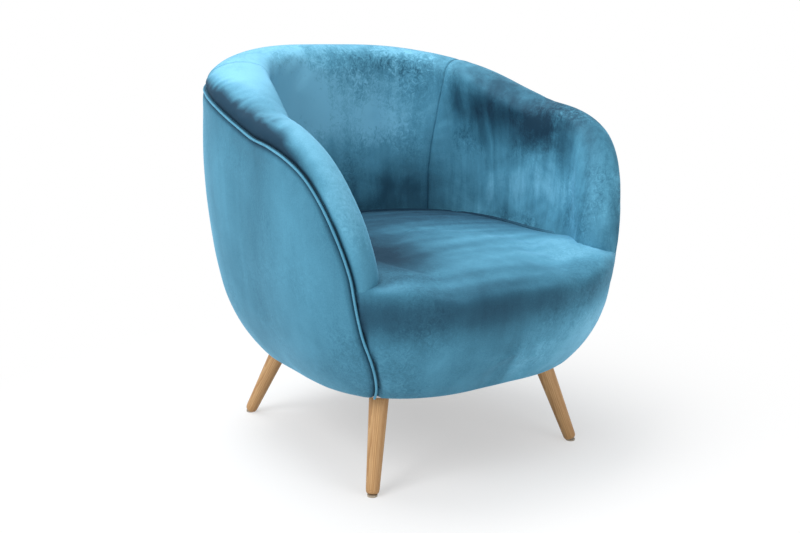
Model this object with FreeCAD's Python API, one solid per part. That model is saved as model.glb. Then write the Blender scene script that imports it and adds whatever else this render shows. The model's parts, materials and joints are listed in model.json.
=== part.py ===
import FreeCAD, Part
import math
import os

# Upholstered tub chair on four splayed legs. All lengths are millimetres.
# The chair faces -Y, Z is up and the floor is Z = 0 under the middle of the chair.
# Places on the body are given by a plan angle from the middle of the back (0) round
# to the middle of the front (180), a height, and a depth in from the outer skin.

# Body form
underside_height = 160.0
flank_height = 296.0
flank_radius = 341.0
flank_lean_angle = 11.0
underside_tuck = 76.0
crest_flare = 11.0
underside_radius = flank_radius - underside_tuck
crest_radius = flank_radius + crest_flare
crest_height = 680.0
corner_share = 0.062
depth_share = 0.008
body_setback = -16.5
body_recline = 15.0
shell_station_angle = 10.0

# Rim and its roll: round the back and along an arm, then round the arm's front,
# which turns down to the seat about a point behind it
back_rim_height = 685.0
arm_rim_height = 587.0
back_roll_half_width = 45.0
back_roll_rise = 42.0
back_wall_depth = 98.0
turn_angle = 100.0
turn_height = 358.0
turn_bend_radius = 360.0
turn_hole_radius = 5.0
pad_station_angle = 6.0
roll_steps = 13
wall_steps = 4
infill_step_angle = 7.5
infill_inset = 1.5
infill_lap = 10.0
turn_step_tilt = 6.0
rim_angles = (0.0, 30.0, 60.0, 85.0, 100.0)
rim_height_shares = (1.0, 0.97, 0.69, 0.25, 0.0)
rim_width_shares = (1.0, 1.02, 1.16, 1.12, 0.88)
rim_rise_shares = (1.0, 0.94, 0.76, 0.74, 0.74)
rim_wall_shares = (1.0, 0.94, 0.77, 0.67, 0.67)
turn_tilts = (0.0, 18.0, 36.0, 54.0, 72.0, 90.0)
turn_reach_shares = (0.943, 0.926, 0.952, 1.004, 1.0, 1.0)
turn_width_shares = (0.84, 0.84, 0.82, 0.79, 0.81, 0.88)
turn_rise_shares = (0.5, 0.62, 0.68, 0.7, 0.7, 0.74)
turn_wall_shares = (0.7, 0.69, 0.69, 0.68, 0.67, 0.67)
wall_bow_share = 0.2

# Seams
seam_top_angle = 52.0
seam_foot_angle = 42.0
seam_gap = 0.3

# Upholstered skin and welt
shell_thickness = 14.0
welt_radius = 3.2
welt_proud = 1.8
welt_drop = 8.0
welt_clearance = 0.4
welt_sides = 8
welt_step = 15.0
welt_station_angle = 10.0

# Front edge of the outside shell: upright, then bent back to the underside
front_bend_height = 270.0
front_bend_radius = 139.0

# Seat
deck_height = 293.0
crown_height = 397.0
crown_setback = 50.0
crown_radius = 1900.0
seat_nose_radius = 42.0
nose_end_tilt = 78.0
nose_steps = 6
nose_overlap = 0.8
seat_loft_height = 420.0
seat_front_blank = 20.0
seat_corner_inset = 46.0
seat_station_angle = 6.0
seat_side_angle = 118.0
seat_side_depth = 64.0
seat_step_angle = 10.0
border_thickness = 82.0
border_station_angle = 8.0
border_step = 20.0

# Plywood frame
board_thickness = 18.0
frame_depth = 20.0
rail_height = 20.0
rail_joint_angle = 48.0
rail_station_angle = 8.0
rib_thickness = 18.0
rib_skin_gap = 1.0
rib_shoulder_depth = 62.0
rib_foot_depth = 70.0
rib_angles = (0.0, 45.0, 90.0)
post_step = 40.0
ring_width = 56.0
outline_step_angle = 15.0
outline_side_steps = 10
front_rail_inset = 20.0
front_rail_thickness = 20.0
front_rail_length = 240.0
front_block_length = 60.0
front_block_depth = 35.0
front_block_spacing = 180.0
front_rail_setback = underside_radius - front_rail_inset

# Seat webbing and underside cloth
strap_width = 50.0
strap_thickness = 1.5
strap_spacing = 84.0
straps_each_way = 4
straps_layers = 2
strap_middle_y = 10.0
strap_lap = 30.0
cloth_thickness = 1.0
cloth_margin = 9.0

# Legs
leg_side_inset = 46.0
front_leg_inset = 41.0
back_leg_inset = 21.0
leg_foot_half_width = underside_radius - leg_side_inset
front_leg_foot_y = front_leg_inset - underside_radius
back_leg_foot_y = underside_radius - back_leg_inset
leg_lean_x_share = 0.272
front_leg_lean_y_share = 0.285
back_leg_lean_y_share = 0.47
leg_top_radius = 17.0
leg_foot_radius = 11.5
leg_foot_round = 2.0
leg_sides = 20
glide_radius = 8.5
glide_height = 3.0
plate_radius = 20.0
plate_thickness = 3.0

# Fitting clearances
fit_gap = 0.3
soft_gap = 0.8
shell_back_gap = 2.8
pad_back_gap = 1.2
nose_gap = 3.4
cut_overrun = 60.0
edge_cut_depth = 110.0
edge_cut_reach = 230.0
edge_cut_below = 20.0
body_span = 1200.0
angle_tolerance = 0.0001
upright_tilt = 90.0
full_turn = 360.0


def arc_through(start, lean, end):
    """Centre and radius of the profile arc that leaves start at a lean from upright."""
    inward = (-math.cos(math.radians(lean)), math.sin(math.radians(lean)))
    across = end[0] - start[0]
    rise = end[1] - start[1]
    radius = (across ** 2 + rise ** 2) / (2 * (across * inward[0] + rise * inward[1]))
    return (start[0] + radius * inward[0], start[1] + radius * inward[1], radius)


FLANK = (flank_radius, flank_height)
LOWER_ARC = arc_through(FLANK, flank_lean_angle, (underside_radius, underside_height))
UPPER_ARC = arc_through(FLANK, flank_lean_angle, (crest_radius, crest_height))


def outer_radius(height):
    """Radius of the body's profile at a height, before the plan is squared."""
    across, level, radius = LOWER_ARC if height < flank_height else UPPER_ARC
    return across + math.sqrt(radius ** 2 - (height - level) ** 2)


def plan_share(angle):
    """How far the rounded-square plan stands out from a circle at an angle."""
    turn = math.radians(angle)
    return 1 + depth_share * math.cos(2 * turn) - corner_share * math.cos(4 * turn)


def on_body(angle, height, depth=0.0):
    """Point at a plan angle and height, at a depth in from the outer skin."""
    turn = math.radians(angle)
    reach = outer_radius(height) * plan_share(angle) - depth
    rise_share = (height - underside_height) / (crest_height - underside_height)
    middle = body_setback + body_recline * rise_share
    return FreeCAD.Vector(-reach * math.sin(turn), reach * math.cos(turn) + middle, height)


def eased(value, places, sizes):
    """Smooth curve through a short table of sizes at rising places."""
    slopes = []
    last = len(places) - 1
    for index in range(last + 1):
        before = max(index - 1, 0)
        after = min(index + 1, last)
        slopes.append((sizes[after] - sizes[before]) / (places[after] - places[before]))
    slopes[0] = 0.0
    index = max(i for i in range(last) if places[i] <= max(value, places[0]))
    span = places[index + 1] - places[index]
    share = min((value - places[index]) / span, 1.0)
    keep = 2 * share ** 3 - 3 * share ** 2 + 1
    rise_in = share ** 3 - 2 * share ** 2 + share
    rise_out = share ** 3 - share ** 2
    return (keep * sizes[index] + (1 - keep) * sizes[index + 1]
            + span * (rise_in * slopes[index] + rise_out * slopes[index + 1]))


class Station:
    """One cross-section of the padded wall: upright, or tilted round the arm's front."""

    def __init__(self, angle, tilt, reach, half_width, rise, wall_depth):
        self.angle = angle
        self.tilt = math.radians(tilt)
        self.reach = reach
        self.half_width = half_width
        self.rise = rise
        self.wall_depth = wall_depth

    def place(self, up, depth):
        forward = up * math.cos(self.tilt) / turn_bend_radius
        height = turn_height + up * math.sin(self.tilt)
        return on_body(self.angle + math.degrees(forward), height, depth)

    def inside_depth(self, up):
        """Depth of the inside face between the wall's foot and its roll."""
        share = (up - turn_hole_radius) / (self.reach - turn_hole_radius)
        bowed = share * (1 - wall_bow_share) + share ** 2 * wall_bow_share
        return self.wall_depth + (2 * self.half_width - self.wall_depth) * bowed


def upright_station(angle):
    turn = abs(angle)
    drop = back_rim_height - arm_rim_height
    reach = arm_rim_height + drop * eased(turn, rim_angles, rim_height_shares) - turn_height
    half_width = back_roll_half_width * eased(turn, rim_angles, rim_width_shares)
    rise = back_roll_rise * eased(turn, rim_angles, rim_rise_shares)
    wall_depth = back_wall_depth * eased(turn, rim_angles, rim_wall_shares)
    return Station(angle, upright_tilt, reach, half_width, rise, wall_depth)


def turned_station(tilt):
    reach = (arm_rim_height - turn_height) * eased(tilt, turn_tilts, turn_reach_shares)
    half_width = back_roll_half_width * eased(tilt, turn_tilts, turn_width_shares)
    rise = back_roll_rise * eased(tilt, turn_tilts, turn_rise_shares)
    wall_depth = back_wall_depth * eased(tilt, turn_tilts, turn_wall_shares)
    return Station(turn_angle, tilt, reach, half_width, rise, wall_depth)


def steps(first, last, step):
    """Even places from first to last, about one step apart."""
    count = max(round(abs(last - first) / step), 1)
    return [first + (last - first) * index / count for index in range(count + 1)]


def arc(start, middle, end):
    return Part.Arc(start, middle, end).toShape()


def line(start, end):
    return Part.LineSegment(start, end).toShape()


def loft(wires):
    return Part.makeLoft(wires, True, True)


def slab(face, thickness):
    return face.extrude(FreeCAD.Vector(0, 0, thickness))


def flipped(vector):
    return FreeCAD.Vector(-vector.x, vector.y, vector.z)


def mirrored(shape):
    return shape.mirror(FreeCAD.Vector(0, 0, 0), FreeCAD.Vector(1, 0, 0))


def box(x_range, y_range, z_range):
    corner = FreeCAD.Vector(x_range[0], y_range[0], z_range[0])
    return Part.makeBox(x_range[1] - x_range[0], y_range[1] - y_range[0],
                        z_range[1] - z_range[0], corner)


def save(name, shape):
    shape.exportStep("parts/" + name + ".step")


# Padded wall: back and arms, each rolled over the rim
rail_face_depth = shell_thickness + shell_back_gap
rail_back_depth = rail_face_depth + frame_depth
pad_back_depth = rail_back_depth + pad_back_gap
rail_drop = welt_drop + pad_back_gap
roll_ledge = rail_drop + rail_height + pad_back_gap


def roll_places(station):
    """Short runs over the rim, from the welt to the top of the inside face."""
    places = [station.place(station.reach - welt_drop, 0.0)]
    for turn in steps(0.0, math.pi, math.pi / roll_steps):
        up = station.reach + station.rise * math.sin(turn)
        places.append(station.place(up, station.half_width * (1 - math.cos(turn))))
    return places


def wall_places(station):
    """Short runs down the inside face, from the roll's ledge to the foot."""
    ledge = station.reach - roll_ledge
    span = (ledge - turn_hole_radius) / wall_steps
    return [station.place(up, station.inside_depth(up))
            for up in steps(ledge, turn_hole_radius, span)]


def closed(places):
    return Part.makePolygon(places + places[:1])


def pad_wire(station):
    """Closed section: over the roll, down the inside, and up behind the padding."""
    foot_behind = station.place(turn_hole_radius, pad_back_depth)
    ledge_behind = station.place(station.reach - welt_drop, pad_back_depth)
    return closed(roll_places(station) + wall_places(station)
                  + [foot_behind, ledge_behind])


def beyond(first, second, third, side):
    """Large block on one side of the plane through three points."""
    along = (second - first).normalize()
    normal = along.cross(third - first).normalize()
    if normal.dot(side) < 0:
        normal = normal.negative()
    across = along.cross(normal)
    corners = [first + along * (body_span * u) + across * (body_span * v)
               for u, v in ((-1, -1), (1, -1), (1, 1), (-1, 1))]
    face = Part.Face(Part.makePolygon(corners + corners[:1]))
    return face.extrude(normal * body_span)


def seam_block(side_sign):
    """Everything on the arm's side (1) or on the back's side (-1) of the seam."""
    top = on_body(seam_top_angle, back_rim_height)
    foot = on_body(seam_foot_angle, turn_height)
    inside = on_body(seam_foot_angle, turn_height, flank_radius / 2)
    side = FreeCAD.Vector(-side_sign, -side_sign, 0)
    shift = side.normalize() * (-seam_gap / 2)
    return beyond(top + shift, foot + shift, inside + shift, side)


back_end_angle = seam_top_angle + pad_station_angle / 2
back_angles = steps(-back_end_angle, back_end_angle, pad_station_angle)
back_wires = [pad_wire(upright_station(angle)) for angle in back_angles]
arm_seam_cut = seam_block(1)
inside_back_pad = loft(back_wires).cut(arm_seam_cut).cut(mirrored(arm_seam_cut))

arm_start_angle = seam_foot_angle - pad_station_angle / 2
turn_places = steps(upright_tilt, 0.0, turn_step_tilt)


def infill_wire(angle):
    """Upright section of the wall inside the front roll's turn, set in a little."""
    forward = math.radians(angle - turn_angle) * turn_bend_radius
    low = turn_hole_radius
    high = arm_rim_height - turn_height - welt_drop - infill_lap
    places = []
    for up in steps(low, high, (high - low) / wall_steps):
        tilt = min(math.degrees(math.atan2(up, forward)), upright_tilt)
        depth = turned_station(tilt).inside_depth(math.hypot(up, forward)) - infill_inset
        places.append(on_body(angle, turn_height + up, depth))
    behind = pad_back_depth + infill_inset
    return closed(places + [on_body(angle, turn_height + high, behind),
                            on_body(angle, turn_height + low, behind)])


def infill_region():
    """Side view of what lies under the front roll, lapped a little into it."""
    ledges = []
    for tilt in turn_places:
        station = turned_station(tilt)
        place = station.place(station.reach - roll_ledge + infill_lap, pad_back_depth)
        ledges.append(FreeCAD.Vector(-body_span / 2, place.y, place.z))
    behind = ledges[0] + FreeCAD.Vector(0, cut_overrun, 0)
    low_front = FreeCAD.Vector(behind.x, ledges[-1].y, turn_height - cut_overrun)
    low_back = FreeCAD.Vector(behind.x, behind.y, low_front.z)
    outline = closed(ledges + [low_front, low_back, behind])
    return Part.Face(outline).extrude(FreeCAD.Vector(body_span, 0, 0))


upright_arm_angles = steps(arm_start_angle, turn_angle, pad_station_angle)
arm_wall = loft([pad_wire(upright_station(angle)) for angle in upright_arm_angles])
infill_start_angle = turn_angle - infill_step_angle / 2
infill_end_angle = turn_angle + math.degrees(arm_rim_height - turn_height) / turn_bend_radius
infill_angles = steps(infill_start_angle, infill_end_angle, infill_step_angle)
arm_infill = loft([infill_wire(angle) for angle in infill_angles]).common(infill_region())


# Front roll of an arm, round the arm's front and down to the seat
def roll_wire(station):
    """Closed section of the roll alone, down to its ledge on the frame's bow."""
    low = station.reach - roll_ledge
    low_inside = station.place(low, station.inside_depth(low))
    low_behind = station.place(low, pad_back_depth)
    ledge_behind = station.place(station.reach - welt_drop, pad_back_depth)
    return closed(roll_places(station) + [low_inside, low_behind, ledge_behind])


front_roll = loft([roll_wire(turned_station(tilt)) for tilt in turn_places])
arm_pad = arm_wall.cut(seam_block(-1)).fuse([arm_infill, front_roll])

# Welt line, from the middle of the back to the foot of the front edge
welt_ledge = welt_drop + welt_radius + welt_clearance
welt_gap = welt_radius + welt_clearance
welt_sunk = welt_radius - welt_proud
welt_stations = [upright_station(a) for a in steps(0.0, turn_angle, welt_station_angle)]
welt_stations += [turned_station(tilt) for tilt in turn_places[1:]]
welt_places = [station.place(station.reach - welt_ledge, 0.0) for station in welt_stations]


def edge_slant(height):
    """Cosine of the front edge's lean from upright at a height."""
    drop = max(front_bend_height - height, 0.0)
    return math.sqrt(1 - (drop / front_bend_radius) ** 2)


def front_edge_y(height):
    """Where the front edge of the outside shell lies at a height, seen from the side."""
    return front_bend_radius * (1 - edge_slant(height)) + welt_places[-1].y


def skin_angle(place_y, height, depth=0.0):
    """Plan angle where the body, at a depth, reaches a distance in front of the middle."""
    near, far = full_turn / 4, full_turn / 2
    while far - near > angle_tolerance:
        middle = (near + far) / 2
        if on_body(middle, height, depth).y > place_y:
            near = middle
        else:
            far = middle
    return near


front_foot_angle = skin_angle(front_edge_y(underside_height), underside_height)


# Outside shell, wrapped round the back and arms below the welt
def shell_wire(angle):
    middle = (underside_height + flank_height) / 2
    upper = (flank_height + crest_height) / 2
    deep = shell_thickness
    skin = [on_body(angle, height) for height in
            (underside_height, middle, flank_height, upper, crest_height)]
    back = [on_body(angle, height, deep) for height in
            (underside_height, middle, flank_height, upper, crest_height)]
    return Part.Wire([
        arc(skin[0], skin[1], skin[2]),
        arc(skin[2], skin[3], skin[4]),
        line(skin[4], back[4]),
        arc(back[4], back[3], back[2]),
        arc(back[2], back[1], back[0]),
        line(back[0], skin[0]),
    ])


def edge_wire(near, far):
    """Section of an edge block between two lines of places through the wall."""
    return closed([near(-cut_overrun), near(edge_cut_depth), far(edge_cut_depth),
                   far(-cut_overrun)])


def edge_block(offset, reach_out):
    """Block along the welt line, from an offset past it and reaching out or back in."""
    wires = []
    for station in welt_stations:
        start = station.reach - welt_ledge + offset
        wires.append(edge_wire(lambda depth: station.place(start, depth),
                               lambda depth: station.place(start + reach_out, depth)))
    low = underside_height - edge_cut_below
    for height in steps(turn_height, low, welt_step)[1:]:
        angle = skin_angle(front_edge_y(height), height)
        start = angle + math.degrees(offset / (outer_radius(height) * edge_slant(height)))
        end = start + math.degrees(reach_out / turn_bend_radius)
        wires.append(edge_wire(lambda depth: on_body(start, height, depth),
                               lambda depth: on_body(end, height, depth)))
    return loft(wires)


shell_end_angle = front_foot_angle + shell_station_angle
shell_angles = steps(-shell_end_angle, shell_end_angle, shell_station_angle)
shell_wires = [shell_wire(angle) for angle in shell_angles]
shell_edge_cut = edge_block(-welt_gap, edge_cut_reach)
outside_shell = loft(shell_wires).cut(shell_edge_cut).cut(mirrored(shell_edge_cut))


# Seat cushion: a crowned slab between the arms that runs out to the front
seat_foot = deck_height + straps_layers * strap_thickness + fit_gap
seat_corner_y = welt_places[-1].y - welt_gap
crown_middle = FreeCAD.Vector(0, crown_setback, crown_height - crown_radius)


def inner_place(angle, height):
    """Place beside the inside face of the padded wall, clear of it."""
    station = upright_station(angle)
    up = max(height - turn_height, turn_hole_radius)
    return on_body(angle, height, station.inside_depth(up) + soft_gap)


def seat_level(height):
    """Outline of the seat: along the padded wall, then out past the front skin."""
    corner = on_body(skin_angle(seat_corner_y, height), height)
    outside = FreeCAD.Vector(corner.x - seat_front_blank, corner.y, height)
    inset = FreeCAD.Vector(corner.x + seat_corner_inset, corner.y, height)
    side = on_body(seat_side_angle, height, seat_side_depth)
    wall = [inner_place(angle, height) for angle in steps(0.0, turn_angle, seat_step_angle)]
    wall = [flipped(place) for place in reversed(wall[1:])] + wall
    ahead = on_body(full_turn / 2, height, -seat_front_blank)
    edges = [line(*pair) for pair in zip(wall, wall[1:])]
    edges += [line(wall[-1], side), line(side, inset), line(inset, outside)]
    edges += [arc(outside, ahead, flipped(outside)), line(flipped(outside), flipped(inset))]
    edges += [line(flipped(inset), flipped(side)), line(flipped(side), wall[0])]
    return Part.Wire(edges)


def crown_over(place):
    """Height of the crown above a place."""
    away = (place.x - crown_middle.x) ** 2 + (place.y - crown_middle.y) ** 2
    return crown_middle.z + math.sqrt(crown_radius ** 2 - away)


def front_place(angle, tilt):
    """Place on the rounded front edge, where its surface has turned in by a tilt."""
    end_inset = seat_nose_radius * (1 - math.cos(math.radians(nose_end_tilt)))
    inset = seat_nose_radius * (1 - math.cos(math.radians(tilt)))
    end_rise = seat_nose_radius * math.sin(math.radians(nose_end_tilt))
    rise = seat_nose_radius * math.sin(math.radians(tilt))
    rounded_top = on_body(angle, crown_height, end_inset)
    height = crown_over(rounded_top) + nose_overlap - end_rise + rise
    return on_body(angle, height, inset)


def front_trim_wire(angle):
    """What is cut from the blank in front: beyond the skin and its rounded edge."""
    low = seat_foot - fit_gap
    tilts = steps(0.0, nose_end_tilt, nose_end_tilt / nose_steps)
    places = [on_body(angle, low)] + [front_place(angle, tilt) for tilt in tilts]
    top = FreeCAD.Vector(places[-1].x, places[-1].y, seat_loft_height + fit_gap)
    return closed(places + [top, on_body(angle, top.z, -cut_overrun),
                            on_body(angle, low, -cut_overrun)])


def nose_tool():
    """Space of an arm's padded end, as a column standing up from its underside."""
    end = turned_station(0.0)
    grown = Station(end.angle, 0.0, end.reach, end.half_width + nose_gap / 2,
                    end.rise + nose_gap, end.wall_depth + nose_gap)
    outside = [end.place(end.reach, -cut_overrun), end.place(0.0, -cut_overrun)]
    column = Part.Face(closed(roll_places(grown)[1:] + wall_places(grown)
                              + [inner_place(turn_angle, turn_height)] + outside[::-1]))
    column.translate(FreeCAD.Vector(0, 0, -fit_gap))
    return slab(column, seat_loft_height - turn_height)


seat_slab = loft([seat_level(seat_foot), seat_level(seat_loft_height)])
trim_start = skin_angle(seat_corner_y, seat_foot) - seat_station_angle
trim_angles = steps(trim_start, full_turn - trim_start, seat_station_angle)
front_trim = loft([front_trim_wire(angle) for angle in trim_angles])
seat_crown = Part.makeSphere(crown_radius, crown_middle, FreeCAD.Vector(1, 0, 0))
arm_nose = nose_tool()
seat_cushion = seat_slab.common(seat_crown).cut(front_trim)
seat_cushion = seat_cushion.cut(arm_nose).cut(mirrored(arm_nose))

# Front border, the padded band that carries the seat's front down to the underside
border_top = deck_height + straps_layers * strap_thickness


def border_wire(angle):
    heights = steps(underside_height, border_top, border_step)
    return closed([on_body(angle, height) for height in heights]
                  + [on_body(angle, border_top, border_thickness),
                     on_body(angle, underside_height, shell_thickness)])


border_start = front_foot_angle - border_station_angle * 2
border_angles = steps(border_start, full_turn - border_start, border_station_angle)
front_border = loft([border_wire(angle) for angle in border_angles])
border_edge_cut = edge_block(welt_gap, -edge_cut_reach)
front_border = front_border.cut(border_edge_cut).cut(mirrored(border_edge_cut))
ring_front_y = front_rail_thickness + fit_gap - front_rail_setback
behind_border = box((-body_span / 2, body_span / 2), (ring_front_y - soft_gap, body_span / 2),
                    (underside_height + board_thickness, border_top + cut_overrun))
front_border = front_border.cut(behind_border)

# Welt: a cord from the foot of one front edge, over the rim, to the other foot
def welt_path():
    """Cord places with the way outward from the skin, for the sitter's right."""
    places = [(station.place(station.reach - welt_ledge, welt_sunk),
               station.place(station.reach - welt_ledge, 0.0))
              for station in welt_stations[:-1]]
    for height in steps(turn_height, underside_height + welt_radius, welt_step):
        angle = skin_angle(front_edge_y(height), height)
        places.append((on_body(angle, height, welt_sunk), on_body(angle, height)))
    return [(place, skin - place) for place, skin in places]


def welt_ring(place, outward, ahead):
    """Section of the cord, square to its run."""
    along = FreeCAD.Vector(ahead).normalize()
    out = (outward - along * outward.dot(along)).normalize()
    across = along.cross(out)
    ring = []
    for turn in steps(0.0, 2 * math.pi, 2 * math.pi / welt_sides)[:-1]:
        ring.append(place + out * (welt_radius * math.cos(turn))
                    + across * (welt_radius * math.sin(turn)))
    return Part.makePolygon(ring + ring[:1])


right_path = welt_path()
whole_path = [(flipped(place), flipped(out)) for place, out in reversed(right_path[1:])]
whole_path += right_path
welt_rings = []
for index, (place, outward) in enumerate(whole_path):
    before = whole_path[max(index - 1, 0)][0]
    after = whole_path[min(index + 1, len(whole_path) - 1)][0]
    welt_rings.append(welt_ring(place, outward, after - before))
welt = loft(welt_rings)


# Plywood frame: rails under the rim, ribs, front posts, seat ring and base board

def largest(shape):
    return max(shape.Solids, key=lambda solid: solid.Volume)


def rail_wire(station):
    """Section of the rim's rail, between the outside shell and the padding."""
    high = station.reach - rail_drop
    low = high - rail_height
    return closed([station.place(low, rail_face_depth), station.place(high, rail_face_depth),
                   station.place(high, rail_back_depth), station.place(low, rail_back_depth)])


rail_joint_gap_angle = math.degrees(fit_gap / flank_radius)
top_rail_angles = steps(-rail_joint_angle, rail_joint_angle, rail_station_angle)
top_rail_back = loft([rail_wire(upright_station(angle)) for angle in top_rail_angles])
bow_start_angle = rail_joint_angle + rail_joint_gap_angle
bow_wires = [rail_wire(upright_station(angle))
             for angle in steps(bow_start_angle, turn_angle, rail_station_angle)]
bow_wires += [rail_wire(turned_station(tilt)) for tilt in turn_places[1:]]
arm_bow = loft(bow_wires)


def rib(angle):
    """Upright plywood rib from the base board to the rail, notched for the seat ring."""
    station = upright_station(angle)
    outer = rail_face_depth + rib_skin_gap
    low = underside_height + board_thickness
    high = turn_height + station.reach - rail_drop - rail_height / 2
    seat = deck_height - board_thickness
    lower = (low + flank_height) / 2
    upper = (flank_height + high) / 2
    inner_middle = (seat + high) / 2
    outer_foot = on_body(angle, low, outer)
    outer_flank = on_body(angle, flank_height, outer)
    outer_top = on_body(angle, high, outer)
    inner_top = on_body(angle, high, rail_back_depth)
    notch = on_body(angle, seat, rail_back_depth)
    shoulder = on_body(angle, seat, rib_shoulder_depth)
    inner_foot = on_body(angle, low, rib_foot_depth)
    face = Part.Face(Part.Wire([
        arc(outer_foot, on_body(angle, lower, outer), outer_flank),
        arc(outer_flank, on_body(angle, upper, outer), outer_top),
        line(outer_top, inner_top),
        arc(inner_top, on_body(angle, inner_middle, rail_back_depth), notch),
        line(notch, shoulder),
        line(shoulder, inner_foot),
        line(inner_foot, outer_foot),
    ]))
    turn = math.radians(angle)
    across = FreeCAD.Vector(math.cos(turn), math.sin(turn), 0) * rib_thickness
    face.translate(across / -2)
    return face.extrude(across)


back_rib = largest(rib(rib_angles[0]).cut(top_rail_back))
corner_rib = largest(rib(rib_angles[1]).cut(top_rail_back))
side_rib = largest(rib(rib_angles[2]).cut(arm_bow))

# Front posts, under the lower ends of the arm bows
post_reach = turned_station(0.0).reach - rail_drop
post_angles = [turn_angle + math.degrees(forward / turn_bend_radius)
               for forward in (post_reach - rail_height, post_reach)]


def post_wire(height):
    return closed([on_body(post_angles[0], height, rail_face_depth),
                   on_body(post_angles[1], height, rail_face_depth),
                   on_body(post_angles[1], height, rail_back_depth),
                   on_body(post_angles[0], height, rail_back_depth)])


post_heights = steps(underside_height + board_thickness, turn_height, post_step)
front_post = loft([post_wire(height) for height in post_heights])


def arc_chain(places):
    """Arcs through each next three places, the ends shared."""
    return [arc(*places[i:i + 3]) for i in range(0, len(places) - 2, 2)]


def body_outline(height, depth):
    """Outline all round the body at a height and depth."""
    angles = steps(-full_turn / 2, full_turn / 2, outline_step_angle)
    return Part.Wire(arc_chain([on_body(angle, height, depth) for angle in angles]))


def cut_outline(height, depth, front_y):
    """Outline round the body at a height and depth, cut straight across in front."""
    corner_angle = skin_angle(front_y, height, depth)
    angles = steps(-corner_angle, corner_angle, corner_angle / outline_side_steps)
    places = [on_body(angle, height, depth) for angle in angles]
    return Part.Wire(arc_chain(places) + [line(places[-1], places[0])])


def plate_of(wire, thickness):
    return slab(Part.Face(wire), thickness)


ring_foot = deck_height - board_thickness
opening_depth = pad_back_depth + ring_width
ring_outline = cut_outline(ring_foot, pad_back_depth, ring_front_y)
ring_opening = cut_outline(ring_foot, opening_depth, ring_front_y + ring_width)
seat_ring = plate_of(ring_outline, board_thickness).cut(plate_of(ring_opening, board_thickness))
base_board = plate_of(body_outline(underside_height, rail_face_depth), board_thickness)
dust_cover = plate_of(body_outline(underside_height, rail_face_depth + cloth_margin),
                      cloth_thickness)
dust_cover.translate(FreeCAD.Vector(0, 0, -cloth_thickness))

# Front rail on the board, with two blocks behind it that carry the ring's front edge
rail_front_y = -front_rail_setback
rail_back_y = rail_front_y + front_rail_thickness
board_top = underside_height + board_thickness
front_rail = box((-front_rail_length / 2, front_rail_length / 2), (rail_front_y, rail_back_y),
                 (board_top, deck_height))
block_side = (front_block_spacing - front_block_length) / 2
block_back_y = rail_back_y + fit_gap + front_block_depth
front_block = box((-block_side - front_block_length, -block_side),
                  (rail_back_y + fit_gap, block_back_y), (board_top, ring_foot))

# Webbing, woven in two layers over the ring's opening and lapped onto it
lap_depth = opening_depth - strap_lap
lap_area = cut_outline(ring_foot, lap_depth, ring_front_y + ring_width - strap_lap)
strap_layer = plate_of(lap_area, strap_thickness)
first_strap = -strap_spacing * (straps_each_way - 1) / 2
strap_places = [first_strap + strap_spacing * index for index in range(straps_each_way)]
long_straps = []
cross_straps = []
for place in strap_places:
    sides = (place - strap_width / 2, place + strap_width / 2)
    levels = (ring_foot, ring_foot + strap_thickness)
    long_strap = box(sides, (-body_span / 2, body_span / 2), levels).common(strap_layer)
    across = tuple(side + strap_middle_y for side in sides)
    cross_strap = box((-body_span / 2, body_span / 2), across, levels).common(strap_layer)
    long_strap.translate(FreeCAD.Vector(0, 0, board_thickness))
    cross_strap.translate(FreeCAD.Vector(0, 0, board_thickness + strap_thickness))
    long_straps.append(long_strap)
    cross_straps.append(cross_strap)

# Legs, tapered and splayed, under round mounting plates
plate_top = underside_height - cloth_thickness
leg_top = plate_top - plate_thickness


def leg_ring(foot, lean, height, radius):
    """Level section of a round leaning leg: an oval stretched along its lean."""
    middle = foot + lean * (height - glide_height)
    along = FreeCAD.Vector(lean.x, lean.y, 0).normalize()
    across = FreeCAD.Vector(-along.y, along.x, 0)
    return closed([middle + along * (radius * lean.Length * math.cos(turn))
                   + across * (radius * math.sin(turn))
                   for turn in steps(0.0, 2 * math.pi, 2 * math.pi / leg_sides)[:-1]])


def leg_parts(foot_y, lean_y_share):
    """Leg, mounting plate and glide at the sitter's right, from the place of the foot."""
    foot = FreeCAD.Vector(-leg_foot_half_width, foot_y, glide_height)
    lean = FreeCAD.Vector(leg_lean_x_share, lean_y_share, 1)
    rings = [leg_ring(foot, lean, glide_height, leg_foot_radius - leg_foot_round),
             leg_ring(foot, lean, glide_height + leg_foot_round, leg_foot_radius),
             leg_ring(foot, lean, leg_top, leg_top_radius)]
    top_middle = foot + lean * (leg_top - glide_height)
    plate = Part.makeCylinder(plate_radius, plate_thickness, top_middle)
    glide = Part.makeCylinder(glide_radius, glide_height, FreeCAD.Vector(foot.x, foot.y, 0))
    return loft(rings), plate, glide


front_leg, front_plate, front_glide = leg_parts(front_leg_foot_y, front_leg_lean_y_share)
back_leg, back_plate, back_glide = leg_parts(back_leg_foot_y, -back_leg_lean_y_share)

# Everything that is made once, then everything made for both sides
middle_parts = [
    ("outside_shell", outside_shell),
    ("inside_back_pad", inside_back_pad),
    ("seat_cushion", seat_cushion),
    ("front_border", front_border),
    ("welt", welt),
    ("top_rail_back", top_rail_back),
    ("rib_back", back_rib),
    ("seat_ring", seat_ring),
    ("base_board", base_board),
    ("front_rail", front_rail),
    ("dust_cover", dust_cover),
]
side_parts = [
    ("inside_arm_pad", arm_pad),
    ("arm_bow", arm_bow),
    ("rib_corner", corner_rib),
    ("rib_side", side_rib),
    ("front_post", front_post),
    ("front_block", front_block),
    ("leg_front", front_leg),
    ("leg_back", back_leg),
    ("leg_plate_front", front_plate),
    ("leg_plate_back", back_plate),
    ("glide_front", front_glide),
    ("glide_back", back_glide),
]

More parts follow.
